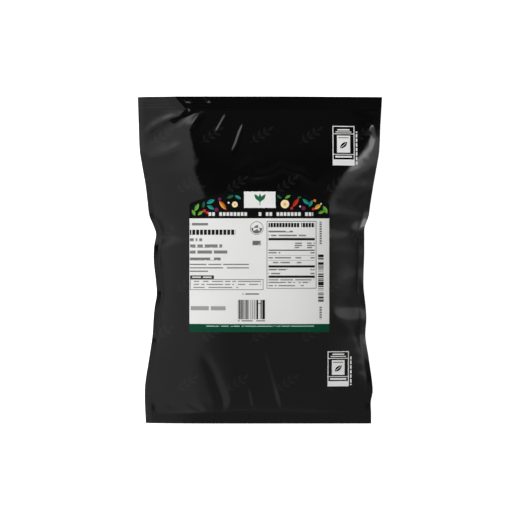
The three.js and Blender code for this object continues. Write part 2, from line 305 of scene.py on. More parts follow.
def seam_height(x, y):
    """Height of the middle of the seal, carried on across the pouch between the side seals."""
    left, right = side_lines(y)
    outside = np.maximum(np.maximum(x - right, left - x), 0)
    tilt = np.where(x < 0, reach_at(LEFT_TILT, y), reach_at(RIGHT_TILT, y))
    z = SEAM_HEIGHT_WAIST + (SEAM_HEIGHT_END - SEAM_HEIGHT_WAIST) * (y / HALF_HEIGHT) ** 2 - tilt * outside
    z = z - flap_drop(x, y)
    z = z - TOP_DROOP * np.maximum(y - TOP_LINE, 0)
    z = z - BOTTOM_DROOP * np.maximum(BOTTOM_LINE + DROOP_START - y, 0)
    z = z + crease_height(SEAL_CREASES, x, y) * smooth_step(y, *SEAL_CREASE_FADE)
    for side, middle, lift, length, reach in PUCKERS:
        inwards = right - x if side > 0 else x - left
        z = z + lift * bell(y - middle, length) * bell(np.maximum(inwards, 0), reach)
    for inwards, seed in ((x - left, LEFT_SEED), (right - x, RIGHT_SEED)):
        ripple = SEAL_RIPPLE["height"] * swell(y, 0 * y, SEAL_RIPPLE["pitch"], seed)
        ripple = ripple * bell(np.maximum(inwards, 0), GATHERS["depth"])
        z = z + ripple * smooth_step(HALF_HEIGHT - np.abs(y), 0, RIPPLE_FADE)
    return z


def rib_height(y):
    """The ribs pressed across the top seal."""
    phase = np.maximum(y - TOP_LINE, 0) / RIB_PITCH
    return RIB_HEIGHT * 0.5 * (1 - np.cos(2 * np.pi * phase))


def bulge(web, x, y):
    """How far a web stands away from the seam."""
    left, right = side_lines(y)
    above = y > CROWN_Y
    line = np.where(above, TOP_LINE, BOTTOM_LINE)
    power = np.where(above, web["upwards"][0], web["downwards"][0])
    ease = np.where(above, web["upwards"][1], web["downwards"][1])
    along = np.minimum(np.abs((y - CROWN_Y) / (line - CROWN_Y)), 1)
    over = np.minimum(np.abs((2 * x - left - right) / (right - left)), 1)
    lengthwise = (1 - along ** power) ** ease
    crosswise = (1 - over ** web["across"][0]) ** web["across"][1]
    return web["rise"] * lengthwise * crosswise


def beside_label(x, y):
    """How far a point is outside the label."""
    beside = np.maximum(np.abs(x - LABEL_CENTRE_X) - LABEL_WIDTH / 2, 0)
    beyond = np.maximum(np.maximum(LABEL_BOTTOM - y, y - LABEL_CROWN), 0)
    return np.hypot(beside, beyond)


def fold_height(folds, x, y):
    """Folds that fade out as they reach a seal."""
    left, right = side_lines(y)
    inside = np.minimum(np.minimum(x - left, right - x), np.minimum(TOP_LINE - y, y - BOTTOM_LINE))
    return crease_height(folds, x, y) * smooth_step(inside, -1, FOLD_FADE)


def front_height(x, y):
    """The front web, crowned over the filling and smoother where the label stiffens it."""
    stiff = 1 - smooth_step(beside_label(x, y), 0, LABEL_STIFFENS)
    folds = fold_height(FRONT_FOLDS, x, y) + fold_height(FRONT_CREASES, x, y)
    folds = folds + film_relief(x, y, FRONT_SEED, FRONT_RELIEF)
    lift = seam_height(x, y) + rib_height(y) + FILM
    under_label = LABEL_SWELL["height"] * stiff * swell(x, y, LABEL_SWELL["pitch"], LABEL_SEED)
    return lift + bulge(FRONT_WEB, x, y) + folds * (1 - stiff) + under_label


def back_height(x, y):
    """The back web, pressed flat where the pouch rests on the surface."""
    lift = seam_height(x, y) + rib_height(y) - FILM
    folds = fold_height(BACK_FOLDS, x, y) + fold_height(BACK_CREASES, x, y)
    folds = folds - film_relief(x, y, BACK_SEED, BACK_RELIEF)
    hanging = lift - bulge(BACK_WEB, x, y) + folds
    pressed = np.maximum(hanging + REST_BLEND, 0) ** 2 / (4 * REST_BLEND)
    return np.where(hanging > REST_BLEND, hanging, pressed)


# ---------------------------------------------------------------------------------------------
# Making meshes.
# ---------------------------------------------------------------------------------------------
SHARP_ANGLE = 50


def deselect():
    if bpy.context.object and bpy.context.object.mode != "OBJECT":
        bpy.ops.object.mode_set(mode="OBJECT")
    bpy.ops.object.select_all(action="DESELECT")


def flat_grid(name, columns, rows):
    """A unit grid of the named piece's film or paper, ready to be shaped."""
    deselect()
    bpy.ops.mesh.primitive_grid_add(x_subdivisions=columns, y_subdivisions=rows, size=1)
    piece = bpy.context.object
    piece.name = name
    piece.data.name = name
    return piece


def shape(piece, columns, rows, place):
    """Moves every grid vertex to place(column, row), which works in whole arrays of millimetres."""
    co = np.empty(len(piece.data.vertices) * 3)
    piece.data.vertices.foreach_get("co", co)
    co = co.reshape(-1, 3)
    column = np.rint((co[:, 0] + 0.5) * columns).astype(int)
    row = np.rint((co[:, 1] + 0.5) * rows).astype(int)
    moved = np.stack(place(column, row), axis=1) * MM
    piece.data.vertices.foreach_set("co", moved.ravel())
    piece.data.update()


def finish_with(piece, kind, **settings):
    """Adds a modifier with these settings and applies it."""
    deselect()
    piece.select_set(True)
    bpy.context.view_layer.objects.active = piece
    modifier = piece.modifiers.new(kind.title(), kind)
    for setting, value in settings.items():
        setattr(modifier, setting, value)
    bpy.ops.object.modifier_apply(modifier=modifier.name)


def smooth(piece):
    """Smooth shading, with the edges of a wall kept sharp."""
    deselect()
    piece.select_set(True)
    bpy.context.view_layer.objects.active = piece
    bpy.ops.object.shade_smooth_by_angle(angle=math.radians(SHARP_ANGLE))


def closer_at_ends(t):
    """Shares from 0 to 1, drawn together towards both ends."""
    return t - np.sin(2 * np.pi * t) / (4 * np.pi)


WEB_COLUMNS = 180
SIDE_COLUMNS = 4
WEB_ROWS = 214
TOP_SEAL_ROWS = 24
BOTTOM_SEAL_ROWS = 8


def film_web(name, height, outward):
    """One web of film: a fine grid whose rows and columns follow the seals, given its thickness."""
    y_at = np.concatenate([
        np.linspace(-HALF_HEIGHT, BOTTOM_LINE, BOTTOM_SEAL_ROWS, endpoint=False),
        np.linspace(BOTTOM_LINE, TOP_LINE, WEB_ROWS, endpoint=False),
        np.linspace(TOP_LINE, HALF_HEIGHT, TOP_SEAL_ROWS + 1),
    ])
    share = np.concatenate([
        np.linspace(-1, 0, SIDE_COLUMNS, endpoint=False),
        np.linspace(0, 1, WEB_COLUMNS + 1),
        np.linspace(1, 2, SIDE_COLUMNS + 1)[1:],
    ])

    def place(column, row):
        y = y_at[row]
        left, right = side_lines(y)
        s = share[column]
        inside = left + (right - left) * np.clip(s, 0, 1)
        x = inside + SIDE_SEAL * (np.minimum(s, 0) + np.maximum(s - 1, 0))
        return x, y, height(x, y)

    columns, rows = len(share) - 1, len(y_at) - 1
    web = flat_grid(name, columns, rows)
    shape(web, columns, rows, place)
    finish_with(web, "SOLIDIFY", thickness=FILM * MM, offset=-outward)
    smooth(web)
    return web


LABEL_COLUMNS = 110
LABEL_ROWS = 110


def label_top(x):
    """The label's top edge: a shallow arc with small round corners."""
    rise = LABEL_CROWN - LABEL_SHOULDER
    half = LABEL_WIDTH / 2
    radius = (half ** 2 + rise ** 2) / (2 * rise)
    arc = LABEL_CROWN - radius + np.sqrt(radius ** 2 - x ** 2)
    corner = np.maximum(LABEL_CORNER - (half - np.abs(x)), 0)
    return arc - LABEL_CORNER + np.sqrt(LABEL_CORNER ** 2 - corner ** 2)


def paper_label():
    """The label: a grid under its arched top that lies on the front web."""
    share = closer_at_ends(closer_at_ends(np.linspace(0, 1, LABEL_COLUMNS + 1)))

    def place(column, row):
        x = (share[column] - 0.5) * LABEL_WIDTH
        y = LABEL_BOTTOM + (label_top(x) - LABEL_BOTTOM) * row / LABEL_ROWS
        x = x + LABEL_CENTRE_X
        return x, y, front_height(x, y) + LABEL_GAP + LABEL_PAPER

    label = flat_grid("paper_label", LABEL_COLUMNS, LABEL_ROWS)
    shape(label, LABEL_COLUMNS, LABEL_ROWS, place)
    finish_with(label, "SOLIDIFY", thickness=LABEL_PAPER * MM, offset=-1)
    smooth(label)
    return label


def berry_domes(x, y):
    """Round tops of berries that lie side by side, scattered a little off an even layout."""
    draw = np.random.default_rng(BERRY_SEED)
    scatter = draw.uniform(*BERRY_SCATTER, (BERRY_TABLE, BERRY_TABLE, 3))
    column = np.floor(x / BERRY_PITCH).astype(int)
    row = np.floor(y / BERRY_PITCH).astype(int)
    height = np.zeros_like(x)
    for right in (-1, 0, 1):
        for up in (-1, 0, 1):
            berry = scatter[(column + right) % BERRY_TABLE, (row + up) % BERRY_TABLE]
            off_x = x - (column + right + berry[:, 0]) * BERRY_PITCH
            off_y = y - (row + up + berry[:, 1]) * BERRY_PITCH
            radius = BERRY_RADIUS * (BERRY_LEAST + BERRY_SPREAD * berry[:, 2])
            dome = np.sqrt(np.maximum(radius ** 2 - off_x ** 2 - off_y ** 2, 0))
            height = np.maximum(height, dome + BERRY_STAGGER * berry[:, 2] * (dome > 0))
    return height


def berry_heap():
    """The filling: a closed body with berries on top, that follows the back web underneath."""
    deselect()
    bpy.ops.mesh.primitive_uv_sphere_add(segments=HEAP_SEGMENTS, ring_count=HEAP_RINGS, radius=1)
    heap = bpy.context.object
    heap.name = "berry_heap"
    heap.data.name = "berry_heap"
    co = np.empty(len(heap.data.vertices) * 3)
    heap.data.vertices.foreach_get("co", co)
    co = co.reshape(-1, 3)
    share = np.arctan2(np.hypot(co[:, 0], co[:, 1]), np.abs(co[:, 2])) / (math.pi / 2)
    length = (np.abs(co[:, 0]) ** HEAP_CORNER + np.abs(co[:, 1]) ** HEAP_CORNER) ** (1 / HEAP_CORNER)
    across, along = (co[:, :2] * (share / np.maximum(length, 1e-9))[:, None]).T
    y = HEAP_MIDDLE_Y + HEAP_HALF_LENGTH * along
    left, right = side_lines(y)
    x = (left + right) / 2 + ((right - left) / 2 - HEAP_INSET) * across
    floor = back_height(x, y) + HEAP_GAP
    level = HEAP_LEVEL + HEAP_MOUND * (1 - across ** 2) * (1 - along ** 2) + berry_domes(x, y)
    roof = front_height(x, y) - HEAP_HEADSPACE
    level = np.maximum(np.minimum(level, roof), floor)
    edge = np.sqrt(np.maximum(1 - share ** HEAP_SHOULDER, 0))
    top = floor + HEAP_RIM + (level - floor) * edge
    z = np.where(co[:, 2] > 0, top, floor + HEAP_RIM * (1 - edge))
    heap.data.vertices.foreach_set("co", (np.stack((x, y, z), axis=1) * MM).ravel())
    heap.data.update()
    smooth(heap)
    return heap


# ---------------------------------------------------------------------------------------------
# Shader maths.
# ---------------------------------------------------------------------------------------------
class Tone:
    """A shader socket that works in Python arithmetic: each operator adds one Math node."""

    def __init__(self, finish, socket):
        self.finish = finish
        self.socket = socket

    def math(self, operation, *others):
        return self.finish.node("ShaderNodeMath", {"operation": operation}, [self, *others])

    def __add__(self, other):
        return self.math("ADD", other)

    def __sub__(self, other):
        return self.math("SUBTRACT", other)

    def __rsub__(self, other):
        return self.finish.node("ShaderNodeMath", {"operation": "SUBTRACT"}, [other, self])

    def __mul__(self, other):
        return self.math("MULTIPLY", other)

    def __truediv__(self, other):
        return self.math("DIVIDE", other)

    def __or__(self, other):
        return self.math("MAXIMUM", other)

    def __and__(self, other):
        return self.math("MINIMUM", other)

    def __lt__(self, other):
        return self.math("LESS_THAN", other)

    def __gt__(self, other):
        return self.math("GREATER_THAN", other)

    def __abs__(self):
        return self.math("ABSOLUTE")

    __radd__ = __add__
    __rmul__ = __mul__

    def near(self, middle, reach):
        """1 within reach of middle, and 0 beyond."""
        return self.math("COMPARE", middle, reach)

    def ramp(self, low, high):
        """0 below low, 1 above high and smooth between them."""
        settings = {"interpolation_type": "SMOOTHSTEP"}
        inputs = {"Value": self, "From Min": low, "From Max": high}
        return self.finish.node("ShaderNodeMapRange", settings, inputs)


class Finish:
    """A material, or the world, under construction."""

    def __init__(self, name, tree=None):
        if tree is None:
            self.material = bpy.data.materials.new(name)
            self.material.use_nodes = True
            tree = self.material.node_tree
        self.tree = tree
        self.tree.nodes.clear()

    def node(self, kind, settings=None, inputs=None, output=0):
        """Adds a node: its settings first, then the values or links of its sockets."""
        made = self.tree.nodes.new(kind)
        for setting, value in (settings or {}).items():
            setattr(made, setting, value)
        if isinstance(inputs, (list, tuple)):
            inputs = dict(enumerate(inputs))
        for socket, value in (inputs or {}).items():
            if isinstance(value, Tone):
                self.tree.links.new(value.socket, made.inputs[socket])
            else:
                made.inputs[socket].default_value = value
        return Tone(self, made.outputs[output]) if made.outputs else None

    def place(self):
        """Object coordinates in millimetres, as a vector."""
        where = self.node("ShaderNodeTexCoord", output="Object")
        return self.node("ShaderNodeVectorMath", {"operation": "SCALE"}, {0: where, "Scale": 1 / MM})

    def split(self, vector):
        made = self.node("ShaderNodeSeparateXYZ", inputs=[vector])
        outputs = made.socket.node.outputs
        return tuple(Tone(self, outputs[axis]) for axis in range(3))

    def mix(self, share, under, over):
        """Colour under where share is 0, and over where it is 1."""
        return self.node("ShaderNodeMix", {"data_type": "RGBA"}, {0: share, 6: under, 7: over}, output=2)

    def blend(self, share, under, over):
        """A number: under where share is 0, and over where it is 1."""
        return self.node("ShaderNodeMix", {"data_type": "FLOAT"}, {0: share, 2: under, 3: over})

    def chance(self, steps):
        """A random number from 0 to 1 for each whole step of a value."""
        settings = {"noise_dimensions": "1D"}
        return self.node("ShaderNodeTexWhiteNoise", settings, {"W": steps.math("FLOOR")})

    def noise(self, vector, scale, detail=2.0, roughness=0.5):
        inputs = {"Vector": vector, "Scale": scale, "Detail": detail, "Roughness": roughness}
        return self.node("ShaderNodeTexNoise", inputs=inputs)

    def bump(self, height, strength, distance):
        inputs = {"Strength": strength, "Distance": distance, "Height": height}
        return self.node("ShaderNodeBump", inputs=inputs)

    def surface(self, **sockets):
        """The Principled shader, with a socket's name written with _ for its blanks."""
        inputs = {name.replace("_", " "): value for name, value in sockets.items()}
        shader = self.node("ShaderNodeBsdfPrincipled", inputs=inputs)
        self.node("ShaderNodeOutputMaterial", inputs={"Surface": shader})
        return self.material


def grey(value):
    return (value, value, value, 1)


# ---------------------------------------------------------------------------------------------
# Finishes.
# ---------------------------------------------------------------------------------------------
def boxed(x, y, left, right, low, high):
    """1 inside a rectangle, given in millimetres."""
    return x.near((left + right) / 2, (right - left) / 2) & y.near((low + high) / 2, (high - low) / 2)


def any_box(x, y, boxes):
    """1 inside any of these rectangles."""
    mask = boxed(x, y, *boxes[0])
    for box in boxes[1:]:
        mask = mask | boxed(x, y, *box)
    return mask


def turned(x, y, centre_x, centre_y, degrees):
    """Coordinates along and across a line through a centre."""
    cos, sin = math.cos(math.radians(degrees)), math.sin(math.radians(degrees))
    dx, dy = x - centre_x, y - centre_y
    return dx * cos + dy * sin, dy * cos - dx * sin


def leaf(x, y, centre_x, centre_y, length, width, degrees):
    """A leaf that comes to a point at each end."""
    along, across = turned(x, y, centre_x, centre_y, degrees)
    share = along * (2 / length)
    return abs(across) < (1 - share * share) * (width / 2)


def any_leaf(x, y, leaves):
    """1 inside any of these leaves."""
    mask = leaf(x, y, *leaves[0])
    for blade in leaves[1:]:
        mask = mask | leaf(x, y, *blade)
    return mask


def disc(x, y, centre_x, centre_y, radius):
    dx, dy = x - centre_x, y - centre_y
    return dx * dx + dy * dy < radius ** 2


def ring(x, y, centre_x, centre_y, radius, width):
    dx, dy = x - centre_x, y - centre_y
    return (dx * dx + dy * dy).math("SQRT").near(radius, width / 2)


def hollow(x, y, left, right, low, high, line):
    """The outline of a rectangle."""
    inner = boxed(x, y, left + line, right - line, low + line, high - line)
    return boxed(x, y, left, right, low, high) - inner


def wrapped(value, pitch):
    """A value that starts again at every pitch, with 0 in the middle."""
    return value.math("WRAP", -pitch / 2, pitch / 2)


def blocks(value, pitch, reach):
    """1 in a block at the middle of every pitch, reaching this far either way."""
    return wrapped(value, pitch).near(0, reach)


# The sprigs: each leaf's place along and across the stem, its length and width, and its lean.
SPRIG_PITCH = 46
SPRIG_TILT = 35
SPRIG_STEM = (-12, 10, -0.3, 0.3)
SPRIG_LEAVES = [
    (12.2, 0, 6.5, 2.6, 0), (6.6, 2.5, 6.2, 2.5, 42), (6.6, -2.5, 6.2, 2.5, -42),
    (0.6, 2.5, 6.2, 2.5, 42), (0.6, -2.5, 6.2, 2.5, -42),
    (-5.4, 2.3, 5.6, 2.3, 42), (-5.4, -2.3, 5.6, 2.3, -42),
]


def sprigs(x, y):
    """A tonal pattern of leafy sprigs, every other row set over by half a step."""
    row = (y / SPRIG_PITCH).math("FLOOR")
    over = row.math("MODULO", 2) * (SPRIG_PITCH / 2)
    cell_x = wrapped(x + over, SPRIG_PITCH)
    cell_y = wrapped(y - SPRIG_PITCH / 2, SPRIG_PITCH)
    along, across = turned(cell_x, cell_y, 0, 0, SPRIG_TILT)
    pattern = boxed(along, across, *SPRIG_STEM)
    for centre, side, length, width, lean in SPRIG_LEAVES:
        pattern = pattern | leaf(along, across, centre, side, length, width, lean)
    return pattern


# The two printed panels, each with its left, right, low and high.
BADGES = [(67.4, 87.9, 87.7, 124.7), (62.6, 82.4, -117.2, -84.6)]
BADGE_LINE = 0.75
BADGE_RULE = 0.3
BADGE_LEAF_LEAN = 40
BADGE_LEAF_VEIN = (-4, 3, -0.2, 0.2)


def badge(x, y, left, right, low, high):
    """A printed panel: a frame, a plain pouch with a leaf on it, and bars above and below."""
    width, height = right - left, high - low
    middle = (left + right) / 2
    head, foot = high - height * 0.2, low + height * 0.28
    panel = hollow(x, y, left, right, low, high, BADGE_LINE)
    # Bars: how far in from the sides, as a share of the width, then the low and high of each.
    for inset, bar_low, bar_high in (
        (0, head - BADGE_RULE, head + BADGE_RULE),
        (0, foot - BADGE_RULE, foot + BADGE_RULE),
        (0, low, low + height * 0.15),
        (0.22, head + 3.2, head + 4.4),
        (0.14, head + 1.4, head + 2.2),
        (0.12, foot - 3, foot - 1.4),
    ):
        panel = panel | boxed(x, y, left + width * inset, right - width * inset, bar_low, bar_high)
    bag_low, bag_high = foot + 1.6, head - 1.6
    bag = boxed(x, y, middle - width * 0.3, middle + width * 0.3, bag_low, bag_high)
    bag = bag - boxed(x, y, middle - width * 0.24, middle + width * 0.24, bag_high - 2.4, bag_high - 1.7)
    heart_y = (bag_low + bag_high) / 2 - 1
    blade = leaf(x, y, middle, heart_y, width * 0.44, width * 0.2, BADGE_LEAF_LEAN)
    vein = boxed(*turned(x, y, middle, heart_y, BADGE_LEAF_LEAN), *BADGE_LEAF_VEIN)
    bag = (bag - blade) | (blade & vein)
    dashes = boxed(x, y, right + 1.2, right + 2.6, low + 1, high - 5) & wrapped(y, 4.3).near(-0.4, 1.6)
    return panel | bag | dashes


# Film: its colours, and what adds to its roughness.
FILM_BLACK = (0.001, 0.001, 0.001, 1)
SPRIG_BLACK = (0.0065, 0.0065, 0.0065, 1)
BADGE_WHITE = (0.78, 0.78, 0.77, 1)
BADGE_ROUGHNESS = 0.35
FILM_ROUGHNESS = {"least": 0.035, "wear": 0.05, "print": 0.05, "grain": 0.01}


def black_film(name, printed):
    """Glossy black film with a tonal pattern, and with white badges where it is the printed side."""
    film = Finish(name)
    place = film.place()
    x, y, _ = film.split(place)
    wear = film.noise(place, scale=0.04, detail=3)
    ripple = film.noise(place, scale=0.05, detail=2)
    grain = film.noise(place, scale=0.6, detail=3)
    pattern = sprigs(x, y)
    base = film.mix(pattern, FILM_BLACK, SPRIG_BLACK)
    roughness = wear * FILM_ROUGHNESS["wear"] + pattern * FILM_ROUGHNESS["print"] + FILM_ROUGHNESS["least"]
    if printed:
        inked = badge(x, y, *BADGES[0]) | badge(x, y, *BADGES[1])
        base = film.mix(inked, base, BADGE_WHITE)
        roughness = film.blend(inked, roughness, BADGE_ROUGHNESS)
    return film.surface(
        Base_Color=base,
        Roughness=roughness + grain * FILM_ROUGHNESS["grain"],
        IOR=1.5,
        Normal=film.bump(ripple, strength=0.35, distance=0.0006),
    )


INK = (0.012, 0.012, 0.013, 1)
PAPER_WHITE = (0.74, 0.74, 0.73, 1)
PAPER_SHADE = (0.7, 0.7, 0.685, 1)
HEADER_BLACK = (0.003, 0.0033, 0.0036, 1)
BAND_GREEN = (0.003, 0.055, 0.027, 1)
BAND_PALE = (0.5, 0.72, 0.6, 1)

# Motifs of the header: colour and centre, then a leaf's length, width and lean, or a disc's radius.
MOTIF_COLOURS = {
    "teal": (0.015, 0.28, 0.22, 1), "pine": (0.015, 0.12, 0.05, 1), "lime": (0.13, 0.4, 0.04, 1),
    "orange": (0.72, 0.17, 0.02, 1), "amber": (0.78, 0.4, 0.07, 1), "red": (0.5, 0.03, 0.02, 1),
    "cream": (0.8, 0.68, 0.42, 1), "plum": (0.13, 0.015, 0.07, 1), "white": (0.7, 0.7, 0.68, 1),
}
MOTIF_LEAVES = [
    ("lime", -58.5, 48.6, 8, 3.4, 62), ("lime", -61.4, 43.6, 6, 2.8, 118), ("lime", -55.2, 43.4, 6, 2.8, 40),
    ("teal", -45.6, 54, 8.2, 3.6, 24), ("teal", -45.6, 48.6, 7.4, 3.2, -28), ("pine", -52.2, 51, 6, 2.6, 80),
    ("orange", -34.4, 50.4, 10.5, 3.8, -52), ("amber", -34.9, 50.1, 8, 1.6, -52),
    ("pine", -27.4, 58.4, 6.6, 2.8, 20), ("teal", -20.4, 57.8, 6.4, 2.8, 150),
    ("pine", 17.8, 58.2, 5.6, 2.4, -35), ("lime", 25.6, 58.4, 5.8, 2.4, 30),
    ("red", 32.8, 52.8, 10.4, 3.4, 55), ("pine", 36.2, 57.8, 4.2, 1.8, 20),
    ("teal", 42.4, 53.8, 8, 3.2, -40), ("teal", 46.8, 52.2, 7, 3, 62),
    ("amber", 53.2, 49.2, 7.4, 3.6, 35), ("lime", 60.2, 46.4, 8, 3.6, 118), ("lime", 56.6, 44.2, 6, 2.8, 20),
]
MOTIF_DISCS = [
    ("red", -51.4, 45.4, 1.5), ("red", -48.6, 43.6, 1.3), ("plum", -40.2, 46.4, 1.9),
    ("plum", -37.2, 56.2, 1.4), ("cream", -23.2, 51.2, 2.7), ("amber", -23.2, 51.2, 1),
    ("white", -29, 52.8, 0.9), ("cream", 23, 51.6, 3.9), ("amber", 23, 51.4, 1.5), ("red", 29.2, 47.6, 1.2),
    ("plum", 40.2, 47.8, 1.9), ("red", 49.2, 47, 1.3), ("white", 37, 49.4, 0.8), ("white", 56.4, 52, 0.7),
    ("orange", 50.6, 54.8, 1.3),
]
MOTIF_SHADE = 0.62

# Bars in place of lines of words, each with its left, right, low and high.
COPY = [
    (-64.9, -47.9, 31.9, 34.2), (-64.9, -53.4, 17.3, 20.1), (-64.9, -34.8, 11.4, 14.4),
    (-64.9, -30.2, 5.9, 8.8), (-64.9, -36.2, -0.4, 2.3), (-64.9, -8.8, -4.6, -3.5),
    (-64.9, -8.8, -7.8, -6.7), (-64.9, -47.9, -11, -9.8), (-61.5, 1, -20.2, -19.2), (-61.5, 1, -23, -22),
    (-61.5, -20, -25.8, -24.8), (-16.2, -0.8, -32, -30.6), (-20.4, 4.6, -56.6, -55.4),
    (7.8, 30.4, 25.4, 27), (7.8, 42.5, 21.9, 23.3), (31.8, 38.7, 14.8, 16), (31.8, 38.7, 12.8, 14),
    (31.8, 36.4, 10.8, 12), (43.4, 50.4, 14.8, 16), (43.4, 50.4, 12.8, 14), (43.4, 48, 10.8, 12),
    (7.8, 22, 6, 7.3), (46.5, 50.4, 6, 7.3), (7.8, 28.5, 1.4, 2.7), (32.6, 38, 1.4, 2.7),
    (46.5, 50.4, 1.4, 2.7), (10.4, 27.6, -3, -1.7), (32.6, 38, -3, -1.7), (7.8, 26, -9.5, -8.2),
    (46.5, 50.4, -9.5, -8.2), (7.8, 18.6, -13.1, -11.8), (46.5, 50.4, -13.1, -11.8),
    (7.8, 49.8, -18.8, -17.7), (7.8, 46.2, -21.2, -20.1), (7.8, 40.4, -24.2, -23.1),
    (-2.7, 1.2, -40.5, -39.5),
]
SOLID = [
    (7.8, 50.6, 18.1, 20.3), (7.8, 50.6, 8.5, 9.5), (7.8, 50.6, -7, -4.9), (7.8, 50.6, -16.5, -14.3),
    (7.8, 50.6, 4.15, 4.4), (7.8, 50.6, -0.45, -0.2), (-64.6, -42.5, -17.5, -14.2),
]
FRAMES = [(6.2, 52, -26.3, 35.9, 0.5), (-64.6, 3.1, -27.6, -17.7, 0.45)]
WORD_PITCH = 1.7
COPY_PITCH = 2.9
WORD_GAPS = 0.16
FLECK_ACROSS = (0.62, 0.23)
FLECK_UP = (1.45, 0.3)
FLECK_LEAST = 0.35
SOFT_INK = 0.84

# Larger blocks and codes, given in the same way, and the lines where the header and band start.
TITLE = (-64.9, -22.7, 23.2, 28)
HEADING = (7.8, 50.4, 30.2, 34.2)
HEADING_GAP = (36.2, 38, 30, 34)
WEIGHT = (-64.1, -31.7, -46.4, -42.6)
WEIGHT_GAP = (-47.2, -45.4, -48, -41)
BAR_CODE = (-20.4, 4.6, -54.6, -36.7)
SIDE_CODE = (53.6, 58.8, -38.7, 5.1)
SPINE = [(55, 57, 14.3, 35.4), (54.9, 57.1, -54.6, -42.5)]
PALE_BOX = (-6.9, 0.9, 13.6, 17.7)
DARK_BAR_WORDS = (-62.8, -44.6, -16.4, -15.3)
BAND_WORDS = (-49.7, 49.9, -61.4, -60.6)
SLOGAN = (-49.7, 49, 40.7, 44)
HEADER_LINE = 38.4
BAND_LINE = -59.0

# Blocks in place of letters, each as its pitch and its reach either way.
TITLE_BLOCKS = (3.6, 1.4)
HEADING_BLOCKS = (2.7, 1.1)
SPINE_BLOCKS = (2.2, 0.75)
SLOGAN_BLOCKS = (3.3, 1.15)
SLOGAN_GAPS = 0.17
STRIPE_PITCH = 0.42
STRIPE_GAPS = 0.5
RUNG_PITCH = 0.5
RUNG_GAPS = 0.4

# The round stamp with two leaves, and the pale plate with a sprig in the header.
STAMP_PLACE = (-3, 29.4)
STAMP_RADIUS = 5.9
STAMP_LINE = 0.5
STAMP_FILL = 5
STAMP_LEVEL = 29.6
STAMP_LEAVES = [(-4, 29.6, 7, 3, 50), (-1.4, 28.6, 4.6, 2, 125)]
PLATE_PLACE = (-0.2, 55.6)
PLATE_REACH = (14.1, 7.1)
PLATE_WAVE = 0.9
PLATE_LEAVES = [(-2.6, 57.4, 8.4, 3.2, 128), (2.6, 57.4, 8.4, 3.2, 52), (0, 56.8, 8.6, 3, 90)]
PLATE_STEM = (-0.3, 0.3, 50.4, 56)

PAPER_ROUGHNESS = {"least": 0.36, "fibre": 0.08}


